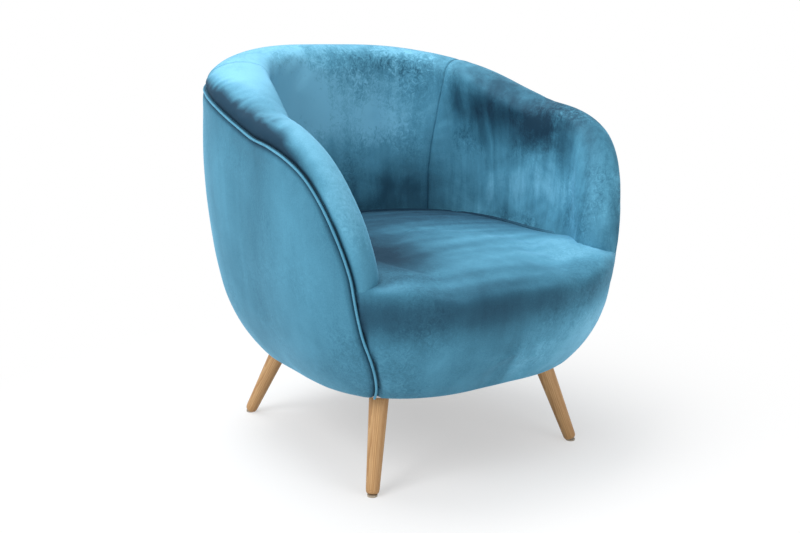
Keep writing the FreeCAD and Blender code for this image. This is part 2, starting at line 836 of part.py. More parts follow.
os.makedirs("parts", exist_ok=True)
for node, solid in middle_parts:
    save(node, solid)
for node, solid in side_parts:
    save(node + "_right", solid)
    save(node + "_left", mirrored(solid))
for index, strap in enumerate(long_straps):
    save("webbing_long_" + str(index + 1), strap)
for index, strap in enumerate(cross_straps):
    save("webbing_cross_" + str(index + 1), strap)
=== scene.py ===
import bpy
import bmesh
import math
import json
import numpy as np
from mathutils import Vector, Matrix, noise, kdtree


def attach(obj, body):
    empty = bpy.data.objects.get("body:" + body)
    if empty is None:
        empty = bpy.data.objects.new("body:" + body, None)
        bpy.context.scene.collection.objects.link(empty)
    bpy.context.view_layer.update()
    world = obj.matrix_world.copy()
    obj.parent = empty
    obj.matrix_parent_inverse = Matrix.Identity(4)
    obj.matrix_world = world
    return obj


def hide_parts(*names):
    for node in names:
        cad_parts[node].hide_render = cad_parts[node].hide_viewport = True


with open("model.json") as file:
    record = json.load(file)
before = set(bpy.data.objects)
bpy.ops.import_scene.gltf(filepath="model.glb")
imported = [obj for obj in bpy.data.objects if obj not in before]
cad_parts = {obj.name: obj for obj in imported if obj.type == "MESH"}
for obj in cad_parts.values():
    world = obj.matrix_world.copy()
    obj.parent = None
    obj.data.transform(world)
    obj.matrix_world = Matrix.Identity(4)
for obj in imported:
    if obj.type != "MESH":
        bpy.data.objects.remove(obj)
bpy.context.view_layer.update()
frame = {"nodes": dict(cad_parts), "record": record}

# Lengths in this script are millimetres until a mesh is made
MM = 0.001

# Body form, the same sizes as the solids
UNDER_Z, UNDER_R = 160.0, 265.0
FLANK_Z, FLANK_R, FLANK_LEAN = 296.0, 341.0, 11.0
CREST_Z, CREST_R = 680.0, 352.0
CORNER, DEPTH = 0.062, 0.008
SETBACK, RECLINE = -16.5, 15.0

# Rim, roll and arm front
BACK_RIM, ARM_RIM = 685.0, 587.0
ROLL_HALF, ROLL_RISE, WALL_DEPTH = 45.0, 42.0, 98.0
TURN_ANGLE, TURN_Z, TURN_R, HOLE_R = 100.0, 358.0, 360.0, 5.0
RIM_ANGLES = (0.0, 30.0, 60.0, 85.0, 100.0)
RIM_HEIGHTS = (1.0, 0.97, 0.69, 0.25, 0.0)
RIM_WIDTHS = (1.0, 1.12, 1.38, 1.08, 0.88)
RIM_RISES = (1.0, 0.94, 0.76, 0.74, 0.74)
RIM_WALLS = (1.0, 0.94, 0.80, 0.80, 0.82)
TURN_TILTS = (0.0, 18.0, 36.0, 54.0, 72.0, 90.0)
TURN_REACHES = (0.943, 0.926, 0.952, 1.004, 1.0, 1.0)
TURN_WIDTHS = (0.84, 0.84, 0.82, 0.79, 0.81, 0.88)
TURN_RISES = (0.5, 0.62, 0.68, 0.7, 0.7, 0.74)
TURN_WALLS = (0.86, 0.84, 0.82, 0.82, 0.82, 0.82)
WALL_BOW = 0.2
EDGE_BEND_Z, EDGE_BEND_R = 270.0, 139.0

# A run is a plan angle up to TURN_ANGLE; past it each unit tilts the section by this many degrees
TILT_RATE = 2.2
TURN_END = TURN_ANGLE + 90.0 / TILT_RATE
RUN_STEP, LAST_RUN = 0.5, 147.0
SIZE_BLURS = (4, 12, 12, 14)

# Welt
WELT_LEDGE, WELT_R, WELT_FOOT = 11.6, 2.2, 3.0
WELT_POINTS, CORD_POINTS, CORD_SIDES = 260, 720, 12
CORD_WOBBLE, CORD_FLANGE = 0.10, 10.0
CORD_SINK, CORD_SWAY = 0.8, 0.5
WELT_RUN_STEP, WELT_TURN_POINTS, WELT_EDGE_POINTS = 1.5, 28, 40
FRONT_EDGE_POINTS = 160

# Outside cover: the height where its top edge becomes its front edge, and its grid
RIM_CORNER_Z = 545.0
SHELL_ROWS, SHELL_COLUMNS = 90, 110

# A degree of plan angle counts as this many millimetres in that grid
ANGLE_WEIGHT = 6

# Turned-under hem, and how thick the covers are
HEM_HEIGHT, HEM_DEPTH = 9.0, 5.0
SHELL_COVER, SOFT_COVER = 5.0, 4.0

# Inside pads: points of a section, then the runs of the seam beside the back by row
LEDGE_POINTS, ROLL_POINTS, WALL_POINTS, PAD_ROWS = 5, 31, 41, 86
SEAM_ROWS = (0, 17, 33, 40, 50, 56, 67, 85)
SEAM_RUNS = (54.5, 53.5, 49.5, 47.0, 44.5, 43.0, 41.5, 41.0)
BACK_COLUMNS, ARM_COLUMNS, NOSE_COLUMNS, NOSE_TUCK = 26, 30, 34, 3.0
SEAM_POINTS, PADS_FACE_UP = 300, 60.0

# Seat
CROWN_Z, CROWN_SETBACK, CROWN_R = 397.0, 50.0, 1900.0
CORNER_LIFT, NOSE_R, SIDE_NOSE_R = 15.0, 42.0, 9.0
SEAT_COLUMNS, TOP_POINTS, NOSE_POINTS, FRONT_POINTS, SIDE_POINTS = 220, 42, 12, 28, 69
SEAT_CENTRE, SEAT_FACES_UP = np.array((0.0, -20.0)), 150.0
FRONT_ANGLE, FRONT_SOFTNESS = 124.0, 2.5
NOSE_START, NOSE_SPAN, NOSE_POWER = 134.0, 26.0, 0.7
TUCK_ANGLE, TUCK_Z, TUCK_MARGIN, TUCK_DROP, TUCK_LINE_DROP = 118.0, 380.0, 6.0, 40.0, 2.0
TUCK_POINTS = 200
LIFT_ASIDE, LIFT_ASIDE_SPAN, LIFT_AHEAD, LIFT_AHEAD_SPAN = 110.0, 110.0, 60.0, 160.0

# The seat cover behind the outside cover: faces left out, and the edge held beside them
CUT_TOP_Z, CUT_MARGIN = 345.0, 0.4
HIDDEN_TOP_Z, HIDDEN_MARGIN = 402.0, 2.5

# Legs
LEG_X, FRONT_Y, BACK_Y, FOOT_Z, LEG_TOP_Z = 219.0, -224.0, 244.0, 3.0, 156.0
LEAN_ASIDE, FRONT_LEAN, BACK_LEAN = 0.272, 0.285, -0.47
FOOT_R, LEG_TOP_R, LEG_SIDES, LEG_RINGS = 11.5, 17.0, 48, 14
FOOT_ROUND = ((0.0, 0.0), (6.0, 0.15), (8.6, 0.9), (10.2, 2.4), (11.1, 4.8), (FOOT_R, 8.0))

# Pale and dark patches of brushed velvet, some of the pale ones painted light that lifts the
# inside back where the lamps leave it in shade: plan angle, height, half sizes, strength
PAD_PATCHES = (
    (32, 650, 24, 90, 0.36), (4, 590, 34, 90, 0.30), (-28, 575, 20, 60, 0.24),
    (-30, 690, 24, 30, -0.20), (-31, 435, 15, 48, -0.26), (2, 430, 16, 40, -0.10),
    (-66, 608, 13, 50, -0.42), (-82, 600, 14, 30, -0.26), (-98, 572, 17, 46, -0.62),
    (-86, 455, 22, 40, 0.24), (-58, 500, 8, 60, 0.10), (-118, 440, 12, 60, 0.24),
    (66, 640, 14, 60, 0.10), (100, 470, 40, 70, 0.24))
# The seat's patches are painted light, pale on the front face on the +X side where the lamps leave
# it dark
SEAT_PATCHES = ((-142, 280, 20, 90, 0.46), (-168, 210, 40, 50, 0.16))

# The dark band's frayed edge: length and depth of its waves
BAND_FRAY = ((60.0, 10.0), (14.0, 8.0), (5.0, 9.0))

# Cloth: width of the strip held at each seam, and how high the pads are held beside the seat
WELT_HOLD, SEAM_HOLD, TUCK_HOLD, HEM_HOLD = 9.0, 7.0, 12.0, 8.0
BESIDE_SEAT, BESIDE_FADE = 40.0, 20.0

# Cloth: the velvet's stiffness, and how long it is given to settle
CLOTH_SETTINGS = {"quality": 5, "mass": 0.25, "tension_stiffness": 12.0,
                  "compression_stiffness": 4.0, "shear_stiffness": 4.0, "bending_stiffness": 0.6}
CLOTH_FRAMES = 20

# Factors for a mirror image and a level direction, and a point on the wall's upright axis
MIRROR = np.array((-1.0, 1.0, 1.0))
LEVEL = (1, 1, 0)
AXIS = (0.0, -5.0, 0.0)

# Noise: how far a seed moves the place where it is read, and the shape of small folds
SEED_STEPS = np.array((7.3, -3.1, 5.7))
FOLD_NARROWING, FOLD_GROUP = 3.2, 6

# Points nearer than this are joined
JOIN_DISTANCE = 0.1


# Form of the wall, its roll and the arm's front
def arc_through(start, lean, end):
    """Arc from a start point, leaning inward by some degrees there, to an end point."""
    inward = (-math.cos(math.radians(lean)), math.sin(math.radians(lean)))
    across = end[0] - start[0]
    rise = end[1] - start[1]
    radius = (across ** 2 + rise ** 2) / (2 * (across * inward[0] + rise * inward[1]))
    return start[0] + radius * inward[0], start[1] + radius * inward[1], radius


LOWER = arc_through((FLANK_R, FLANK_Z), FLANK_LEAN, (UNDER_R, UNDER_Z))
UPPER = arc_through((FLANK_R, FLANK_Z), FLANK_LEAN, (CREST_R, CREST_Z))


def body_middle(height):
    """Place of the body's middle along Y, which leans back with height."""
    return SETBACK + RECLINE * (height - UNDER_Z) / (CREST_Z - UNDER_Z)


def on_body(angle, height, depth=0.0):
    """Point on the body, the same formula as the solids."""
    across, level, radius = LOWER if height < FLANK_Z else UPPER
    profile = across + math.sqrt(max(radius ** 2 - (height - level) ** 2, 0.0))
    turn = math.radians(angle)
    plan = 1 + DEPTH * math.cos(2 * turn) - CORNER * math.cos(4 * turn)
    reach = profile * plan - depth
    return np.array((-reach * math.sin(turn),
                     reach * math.cos(turn) + body_middle(height), height))


def plan_of(point):
    """Plan angle of a point, by the body's middle at its height."""
    return math.degrees(math.atan2(-point[0], point[1] - body_middle(point[2])))


def eased(value, places, sizes):
    """Smooth curve through sizes given at places, level at the first one."""
    slopes = []
    last = len(places) - 1
    for i in range(last + 1):
        a, b = max(i - 1, 0), min(i + 1, last)
        slopes.append((sizes[b] - sizes[a]) / (places[b] - places[a]))
    slopes[0] = 0.0
    i = max(k for k in range(last) if places[k] <= max(value, places[0]))
    span = places[i + 1] - places[i]
    t = min((value - places[i]) / span, 1.0)
    keep = 2 * t ** 3 - 3 * t ** 2 + 1
    bend = (t ** 3 - 2 * t ** 2 + t) * slopes[i] + (t ** 3 - t ** 2) * slopes[i + 1]
    return keep * sizes[i] + (1 - keep) * sizes[i + 1] + span * bend


def tilt_of(run):
    """Degrees that the section stands above level at a run past the turn."""
    return 90.0 - (abs(run) - TURN_ANGLE) * TILT_RATE


def raw_sizes(run):
    """Reach, half width, rise and wall depth of the section at a run."""
    turn = abs(run)
    if turn <= TURN_ANGLE:
        reach = ARM_RIM + (BACK_RIM - ARM_RIM) * eased(turn, RIM_ANGLES, RIM_HEIGHTS) - TURN_Z
        return (reach, ROLL_HALF * eased(turn, RIM_ANGLES, RIM_WIDTHS),
                ROLL_RISE * eased(turn, RIM_ANGLES, RIM_RISES),
                WALL_DEPTH * eased(turn, RIM_ANGLES, RIM_WALLS))
    tilt = max(tilt_of(run), 0.0)
    return ((ARM_RIM - TURN_Z) * eased(tilt, TURN_TILTS, TURN_REACHES),
            ROLL_HALF * eased(tilt, TURN_TILTS, TURN_WIDTHS),
            ROLL_RISE * eased(tilt, TURN_TILTS, TURN_RISES),
            WALL_DEPTH * eased(tilt, TURN_TILTS, TURN_WALLS))


def soften(values, sigma):
    """Rolling average with a bell-shaped weight, the start mirrored."""
    reach = int(sigma * 3)
    weight = np.exp(-0.5 * (np.arange(-reach, reach + 1) / sigma) ** 2)
    ends = np.concatenate((values[reach:0:-1], values, np.full(reach, values[-1])))
    return np.convolve(ends, weight / weight.sum(), "valid")


SIZE_RUNS = np.arange(0.0, LAST_RUN, RUN_STEP)
RAW_TABLE = np.array([raw_sizes(run) for run in SIZE_RUNS])
SIZE_TABLE = np.stack([soften(RAW_TABLE[:, k], blur) for k, blur in enumerate(SIZE_BLURS)], 1)


def station_sizes(run):
    """The section's softened reach, half width, rise and wall depth at a run."""
    return tuple(np.interp(abs(run), SIZE_RUNS, SIZE_TABLE[:, k]) for k in range(4))


def wall_at(up, sizes):
    """Depth of the inside wall at a height over the turn's axis."""
    reach, half, _, wall = sizes
    share = (up - HOLE_R) / (reach - HOLE_R)
    bowed = share * (1 - WALL_BOW) + share ** 2 * WALL_BOW
    return wall + (2 * half - wall) * bowed


def place(run, up, depth):
    """Point of the padded wall at a run round the rim, a distance up and a depth in."""
    if abs(run) <= TURN_ANGLE:
        return on_body(run, TURN_Z + up, depth)
    side = 1.0 if run >= 0 else -1.0
    tilt = math.radians(tilt_of(run))
    forward = math.degrees(up * math.cos(tilt) / TURN_R)
    return on_body(side * (TURN_ANGLE + forward), TURN_Z + up * math.sin(tilt), depth)


# Lines and grids of points
def smooth_line(values, rounds):
    """Repeated three-point average with the ends held."""
    for _ in range(rounds):
        values[1:-1] = (values[:-2] + 2 * values[1:-1] + values[2:]) / 4
    return values


def length_along(points, start=0.0):
    """Distance run from the first point to each point."""
    steps = np.linalg.norm(np.diff(points, axis=0), axis=1)
    return np.concatenate(([0], np.cumsum(steps))) + start


def even_line(points, count):
    """The same line again with evenly spaced points."""
    along = length_along(points)
    want = np.linspace(0, along[-1], count)
    return np.stack([np.interp(want, along, points[:, k]) for k in range(points.shape[1])], 1)


def both_sides(half):
    """A half grid and its mirror image, joined in the middle column."""
    return np.concatenate((half[:, :0:-1] * MIRROR, half), axis=1)


def off_axis(points):
    """Level way out to each point from the upright axis inside the wall."""
    return (points - AXIS) * LEVEL


def angle_round(grid):
    """Plan angle of each point of a grid, by the upright axis inside the wall."""
    return np.degrees(np.arctan2(-grid[..., 0], grid[..., 1] - AXIS[1]))


def grid_normals(grid, outward):
    """Unit normals of a grid of points, turned to agree with a rough outward way."""
    normal = np.cross(np.gradient(grid, axis=1), np.gradient(grid, axis=0))
    length = np.linalg.norm(normal, axis=2, keepdims=True)
    normal = normal / np.maximum(length, 1e-9)
    return -normal if (normal * outward).sum() < 0 else normal


def bell(distance, width, other=0.0, other_width=1.0):
    """1 in the middle, fading out over a width, or over two widths in two ways."""
    return np.exp(-(distance / width) ** 2 - (other / other_width) ** 2)


def rising(value, at, width):
    """Soft step from 0 to 1 at a value."""
    return 1 / (1 + np.exp(-(value - at) / width))


def clipped_share(value, start, span):
    """How much of a span past its start is covered, from 0 to 1."""
    return np.clip((value - start) / span, 0, 1)


def noise_at(x, y, z):
    return noise.noise(Vector((x, y, z)))


def noise_field(grid, size, seed, stretch=(1, 1, 1)):
    """Smooth noise from -1 to 1 at each point, features about one size across."""
    places = grid.reshape(-1, 3) / size * stretch + seed * SEED_STEPS
    return np.array([noise_at(*p) for p in places]).reshape(grid.shape[:-1])


def gathers(far, run, size, reach, seed):
    """Small folds that run out from a seam and die away."""
    flat = run.reshape(-1)
    folds = np.array([noise_at(v / size, seed * 9.1, 0.3) for v in flat])
    strength = np.array([0.5 + noise_at(v / (size * FOLD_GROUP), seed * 4.7, 1.7) for v in flat])
    shape = np.clip(1 - np.abs(folds) * FOLD_NARROWING, 0, 1) * np.clip(strength, 0, 1)
    return shape.reshape(run.shape) * np.exp(-far / reach)


def seam_distance(grid, lines, line_gap=500.0):
    """Distance to the nearest seam line, and the distance run along the lines."""
    points, runs = [], []
    base = 0.0
    for one in lines:
        along = length_along(one, base)
        points.extend(one)
        runs.extend(along)
        base = along[-1] + line_gap
    tree = kdtree.KDTree(len(points))
    for i, p in enumerate(points):
        tree.insert(Vector(p), i)
    tree.balance()
    found = [tree.find(Vector(p)) for p in grid.reshape(-1, 3)]
    far = np.array([distance for _, _, distance in found])
    run = np.array([runs[index] for _, index, _ in found])
    return far.reshape(grid.shape[:-1]), run.reshape(grid.shape[:-1])


def nap_and_painted_light_patches(grid, patches):
    """Sum of soft patches of brushed nap and painted light, each a plan angle, height, half sizes
    and strength.
    """
    angle = angle_round(grid)
    total = np.zeros(grid.shape[:-1])
    for at, height, wide, tall, strength in patches:
        total += strength * bell(angle - at, wide, grid[..., 2] - height, tall)
    return total


def hem_tuck(grid):
    """How far a cover's lower edge is drawn in where it turns under."""
    hem = clipped_share(grid[..., 2], UNDER_Z, HEM_HEIGHT)
    return HEM_DEPTH * (1 - np.sqrt(1 - (1 - hem) ** 2))


# Meshes
def mesh_object(name, points, faces, material):
    mesh = bpy.data.meshes.new(name)
    mesh.from_pydata([tuple(p * MM) for p in points], [], faces)
    mesh.validate()
    mesh.update()
    obj = bpy.data.objects.new(name, mesh)
    bpy.context.scene.collection.objects.link(obj)
    mesh.materials.append(material)
    mesh.polygons.foreach_set("use_smooth", [True] * len(mesh.polygons))
    return obj


def grid_faces(rows, columns, wrap=False):
    faces = []
    last = columns if wrap else columns - 1
    for r in range(rows - 1):
        here, ahead = r * columns, (r + 1) * columns
        for c in range(last):
            d = (c + 1) % columns
            faces.append((here + c, here + d, ahead + d, ahead + c))
    return faces


def closed_faces(rings, sides):
    """Faces of a tube of rings, with both ends closed."""
    faces = grid_faces(rings, sides, wrap=True)
    faces.append(tuple(range(sides)))
    faces.append(tuple(range((rings - 1) * sides, rings * sides)))
    return faces


def face_outward(obj):
    """Joins points that meet and makes the face directions of the sheet agree."""
    work = bmesh.new()
    work.from_mesh(obj.data)
    bmesh.ops.remove_doubles(work, verts=work.verts, dist=JOIN_DISTANCE * MM)
    bmesh.ops.recalc_face_normals(work, faces=work.faces)
    work.to_mesh(obj.data)
    work.free()


def add_modifier(obj, kind, **settings):
    modifier = obj.modifiers.new(kind.title(), kind)
    for key, value in settings.items():
        setattr(modifier, key, value)
    return modifier


def store(obj, name, values):
    """Keeps one number per point, for the material or the cloth to read."""
    if np.isscalar(values):
        values = np.full(len(obj.data.vertices), values)
    layer = obj.data.attributes.new(name, "FLOAT", "POINT")
    layer.data.foreach_set("value", np.asarray(values, dtype=np.float32).reshape(-1))


def settle_cloth(obj, cap, slack, pressure):
    """Runs the padded cover as cloth under its filling's pressure, its seams held by the
    stored number "held", and moves no point further than the cap."""
    start = np.array([v.co for v in obj.data.vertices])
    held = np.empty(len(start), dtype=np.float32)
    obj.data.attributes["held"].data.foreach_get("value", held)
    group = obj.vertex_groups.new(name="held_points")
    for index, weight in enumerate(held):
        if weight > 0.01:
            group.add([index], float(min(weight, 1.0)), "REPLACE")
    cloth = add_modifier(obj, "CLOTH")
    for key, value in CLOTH_SETTINGS.items():
        setattr(cloth.settings, key, value)
    cloth.settings.shrink_min = -slack
    cloth.settings.use_pressure = True
    cloth.settings.uniform_pressure_force = pressure
    cloth.settings.vertex_group_mass = "held_points"
    cloth.settings.effector_weights.gravity = 0.0
    cloth.collision_settings.use_collision = False
    cloth.point_cache.frame_start = 1
    cloth.point_cache.frame_end = CLOTH_FRAMES
    scene = bpy.context.scene
    for frame_number in range(1, CLOTH_FRAMES + 1):
        scene.frame_set(frame_number)
    settled = obj.evaluated_get(bpy.context.evaluated_depsgraph_get()).data
    end = np.array([v.co for v in settled.vertices])
    obj.modifiers.remove(cloth)
    obj.vertex_groups.remove(group)
    scene.frame_set(1)
    move = end - start
    size = np.linalg.norm(move, axis=1, keepdims=True)
    move *= np.minimum(size, cap * MM) / np.maximum(size, 1e-9)
    for vertex, spot in zip(obj.data.vertices, start + move):
        vertex.co = spot
    average, most = round(float(size.mean() / MM), 2), round(float(size.max() / MM), 2)
    print("cloth", obj.name, "moved", average, "mm on average,", most, "at most,",
          int((size > cap * MM).sum()), "points capped")


# Materials
def new_material(name):
    material = bpy.data.materials.new(name)
    material.use_nodes = True
    tree = material.node_tree
    tree.nodes.clear()
    out = node(tree, "OutputMaterial")
    shader = node(tree, "BsdfPrincipled")
    tree.links.new(shader.outputs[0], out.inputs[0])
    return material, tree, shader


def feed(tree, socket, value):
    """Links a socket to another one, or sets its own number."""
    if isinstance(value, bpy.types.NodeSocket):
        tree.links.new(value, socket)
    else:
        socket.default_value = value


def node(tree, kind, settings=None, **inputs):
    made = tree.nodes.new("ShaderNode" + kind)
    for key, value in (settings or {}).items():
        setattr(made, key, value)
    for key, value in inputs.items():
        feed(tree, made.inputs[key.replace("_", " ")], value)
    return made


def math_node(tree, kind, a, b=0.0, c=0.0):
    made = node(tree, "Math", {"operation": kind})
    for socket, value in zip(made.inputs, (a, b, c)):
        feed(tree, socket, value)
    return made.outputs[0]


def centred(tree, socket):
    """A texture's value of 0 to 1 as one of -0.5 to 0.5."""
    return math_node(tree, "SUBTRACT", socket, 0.5)


def mixed(tree, factor, first, second):
    """First shader where the factor is 0, second where it is 1."""
    mix = node(tree, "MixShader")
    for socket, value in zip(mix.inputs, (factor, first, second)):
        tree.links.new(value, socket)
    return mix.outputs[0]


def seen_directly(tree):
    """1 for what the eye sees, straight, mirrored or through glass, and 0 for light."""
    path = node(tree, "LightPath")
    seen = math_node(tree, "MAXIMUM", path.outputs["Is Camera Ray"], path.outputs["Is Glossy Ray"])
    return math_node(tree, "MAXIMUM", seen, path.outputs["Is Transmission Ray"])


def ramp(tree, factor, stops):
    made = node(tree, "ValToRGB")
    tree.links.new(factor, made.inputs[0])
    elements = made.color_ramp.elements
    while len(elements) < len(stops):
        elements.new(0.5)
    for element, (at, colour) in zip(elements, stops):
        element.position = at
        element.color = (*colour, 1.0)
    return made.outputs[0]


def scaled_coords(tree, scale=(1, 1, 1)):
    coords = node(tree, "TexCoord")
    return node(tree, "Mapping", Vector=coords.outputs["Object"], Scale=scale).outputs[0]


def velvet_material():
    """Short-pile velvet: brushed nap in patches and streaks, with painted light and shade stored
    on the meshes in the same number, pale where it is seen edge on.
    """
    material, tree, shader = new_material("velvet")
    nap_and_painted_light = node(tree, "Attribute", {"attribute_name": "nap_and_painted_light"})
    brush = node(tree, "Attribute", {"attribute_name": "brush"})
    mottle = node(tree, "TexNoise", Vector=scaled_coords(tree), Scale=9.0, Detail=5.0,
                  Roughness=0.62, Distortion=0.6)
    streak = node(tree, "TexNoise", Vector=scaled_coords(tree, (34, 34, 4.5)), Scale=1.0,
                  Detail=4.0, Roughness=0.6, Distortion=0.4)
    pile = node(tree, "TexNoise", Vector=scaled_coords(tree), Scale=420.0, Detail=3.0,
                Roughness=0.7)
    crush = node(tree, "TexNoise", Vector=scaled_coords(tree, (1, 1, 0.8)), Scale=95.0, Detail=8.0,
                 Roughness=0.72, Distortion=1.6)
    where = node(tree, "TexNoise", Vector=scaled_coords(tree), Scale=7.0, Detail=2.0)
    where = node(tree, "MapRange", Value=where.outputs[0], From_Min=0.42, From_Max=0.62)
    crushed = math_node(tree, "MULTIPLY", centred(tree, crush.outputs[0]), where.outputs[0])
    mottled, streaked, crushing, piled = 1.1, 0.75, 2.1, 0.22
    patches = math_node(tree, "MULTIPLY_ADD", mottle.outputs[0], mottled, -mottled / 2)
    patches = math_node(tree, "MULTIPLY_ADD", centred(tree, streak.outputs[0]), streaked, patches)
    patches = math_node(tree, "MULTIPLY_ADD", crushed, crushing, patches)
    # The stored number is brushed nap with painted highlights and painted shade added; the
    # texture's patches go on top
    lay_and_painted_light = math_node(tree, "MULTIPLY_ADD", patches, brush.outputs["Fac"], nap_and_painted_light.outputs["Fac"])
    lay_and_painted_light = math_node(tree, "MULTIPLY_ADD", centred(tree, pile.outputs[0]), piled, lay_and_painted_light)
    colour = ramp(tree, lay_and_painted_light, ((0.0, (0.006, 0.036, 0.068)), (0.28, (0.018, 0.088, 0.145)),
                              (0.52, (0.043, 0.178, 0.270)), (0.76, (0.082, 0.290, 0.425)),
                              (1.0, (0.175, 0.475, 0.660))))
    tree.links.new(colour, shader.inputs["Base Color"])
    rough = math_node(tree, "MULTIPLY_ADD", lay_and_painted_light, -0.18, 0.82)
    tree.links.new(rough, shader.inputs["Roughness"])
    sheen = math_node(tree, "MULTIPLY_ADD", lay_and_painted_light, 0.70, 0.12)
    tree.links.new(sheen, shader.inputs["Sheen Weight"])
    shader.inputs["Specular IOR Level"].default_value = 0.25
    shader.inputs["Sheen Roughness"].default_value = 0.30
    shader.inputs["Sheen Tint"].default_value = (0.30, 0.68, 0.95, 1.0)
    bump = node(tree, "Bump", Strength=0.22, Distance=0.0006, Height=pile.outputs[0])
    soft = node(tree, "Bump", Strength=0.25, Distance=0.004, Height=mottle.outputs[0],
                Normal=bump.outputs[0])
    tree.links.new(soft.outputs[0], shader.inputs["Normal"])
    return material


def finish_surface(tree, shader, colour, rough, height, strength, distance):
    """Links a simple material's colour and roughness, and its bump from one height."""
    tree.links.new(colour, shader.inputs["Base Color"])
    feed(tree, shader.inputs["Roughness"], rough)
    bump = node(tree, "Bump", Strength=strength, Distance=distance, Height=height)
    tree.links.new(bump.outputs[0], shader.inputs["Normal"])


def wood_material(name, light, dark, gloss=0.45):
    """Straight-grained wood with fine pores, grain along the part's own length."""
    material, tree, shader = new_material(name)
    grain_scale, pore_scale = (9.0, 9.0, 0.9), (360.0, 360.0, 23.4)
    coords = scaled_coords(tree, grain_scale)
    waves = node(tree, "TexNoise", Vector=coords, Scale=9.0, Detail=6.0, Roughness=0.65,
                 Distortion=1.2)
    pores = node(tree, "TexNoise", Vector=scaled_coords(tree, pore_scale), Scale=1.0, Detail=2.0)
    rings = node(tree, "TexWave", {"bands_direction": "X", "wave_profile": "SAW"},
                 Vector=coords, Scale=14.0, Distortion=5.0, Detail=3.0)
    grain = math_node(tree, "MULTIPLY_ADD", rings.outputs[1], 0.35, waves.outputs[0])
    grain = math_node(tree, "MULTIPLY_ADD", pores.outputs[0], 0.25, grain)
    between = tuple((a + b) / 2 for a, b in zip(light, dark))
    colour = ramp(tree, grain, ((0.40, light), (0.68, between), (1.0, dark)))
    rough = math_node(tree, "MULTIPLY_ADD", grain, 0.18, gloss - 0.08)
    finish_surface(tree, shader, colour, rough, grain, strength=0.2, distance=0.0004)
    return material


def woven_material(name, light, dark, scale):
    """Plain weave or non-woven cloth."""
    material, tree, shader = new_material(name)
    coords = scaled_coords(tree)
    warp, weft = [node(tree, "TexWave", {"bands_direction": way}, Vector=coords, Scale=scale,
                       Distortion=0.4) for way in "XY"]
    fluff = node(tree, "TexNoise", Vector=coords, Scale=scale * 2, Detail=3.0)
    height = math_node(tree, "MULTIPLY", warp.outputs[1], weft.outputs[1])
    height = math_node(tree, "MULTIPLY_ADD", fluff.outputs[0], 0.6, height)
    colour = ramp(tree, height, ((0.2, dark), (0.9, light)))
    finish_surface(tree, shader, colour, 0.85, height, strength=0.4, distance=0.0005)
    return material


def plain_material(name, light, dark, rough, metallic=0.0):
    """Moulded plastic or plated metal with a faint uneven surface."""
    material, tree, shader = new_material(name)
    cloud = node(tree, "TexNoise", Vector=scaled_coords(tree), Scale=60.0, Detail=4.0)
    shader.inputs["Metallic"].default_value = metallic
    colour = ramp(tree, cloud.outputs[0], ((0.3, dark), (0.7, light)))
    uneven = math_node(tree, "MULTIPLY_ADD", cloud.outputs[0], 0.2, rough - 0.1)
    finish_surface(tree, shader, colour, uneven, cloud.outputs[0], strength=0.1, distance=0.0003)
    return material


velvet = velvet_material()
leg_wood = wood_material("leg_wood", (0.66, 0.41, 0.19), (0.38, 0.19, 0.065))
plywood = wood_material("plywood", (0.60, 0.42, 0.24), (0.40, 0.25, 0.12), gloss=0.65)
webbing = woven_material("webbing", (0.05, 0.045, 0.04), (0.01, 0.01, 0.01), 900.0)
dust_cloth = woven_material("dust_cloth", (0.022, 0.022, 0.024), (0.006, 0.006, 0.007), 600.0)
plate_steel = plain_material("plate_steel", (0.55, 0.56, 0.58), (0.40, 0.41, 0.43), 0.38, 1.0)
glide = plain_material("glide", (0.42, 0.36, 0.28), (0.33, 0.28, 0.21), 0.5)


# The welt's line, from the middle of the back to the foot of a front edge
def front_edge_y(height, last_y):
    """The front edge comes straight down from the turn, then bends back."""
    drop = max(EDGE_BEND_Z - height, 0.0)
    return EDGE_BEND_R - math.sqrt(EDGE_BEND_R ** 2 - drop ** 2) + last_y


def skin_angle(place_y, height):
    """Plan angle where the body's skin passes a place along Y, found by halving."""
    near, far = 90.0, 180.0
    while far - near > 1e-4:
        middle = (near + far) / 2
        if on_body(middle, height)[1] > place_y:
            near = middle
        else:
            far = middle
    return near


def half_welt_line():
    upper_runs = np.concatenate((np.arange(0, TURN_ANGLE, WELT_RUN_STEP),
                                 np.linspace(TURN_ANGLE, TURN_END, WELT_TURN_POINTS)))
    upper = [place(run, station_sizes(run)[0] - WELT_LEDGE, 0.0) for run in upper_runs]
    corner_y = upper[-1][1]
    heights = np.linspace(TURN_Z, UNDER_Z + WELT_FOOT, WELT_EDGE_POINTS)[1:]
    lower = [on_body(skin_angle(front_edge_y(h, corner_y), h), h) for h in heights]
    return smooth_line(even_line(np.array(upper + lower), WELT_POINTS), rounds=6)


half_welt = half_welt_line()
whole_welt = np.concatenate((half_welt[:0:-1] * MIRROR, half_welt))
welt_angles = np.array([plan_of(p) for p in half_welt])


def front_edge_angle(height):
    """Plan angle of the welt's front edge at a height, from the welt's last points."""
    heights, angles = half_welt[::-1, 2], welt_angles[::-1]
    return np.interp(height, heights[:FRONT_EDGE_POINTS], angles[:FRONT_EDGE_POINTS])


# Outside cover: a patch in plan angle and height under the welt
def four_sided(low, top, back, edge):
    """Smooth patch of points between four lines that meet at their ends."""
    v, u = [np.linspace(0, 1, len(line))[:, None] for line in (back, low)]
    v = v[:, None]
    sides = (1 - v) * low + v * top + (1 - u) * back[:, None] + u * edge[:, None]
    return (sides - (1 - u) * (1 - v) * low[0] - u * (1 - v) * low[-1]
            - (1 - u) * v * top[0] - u * v * top[-1])


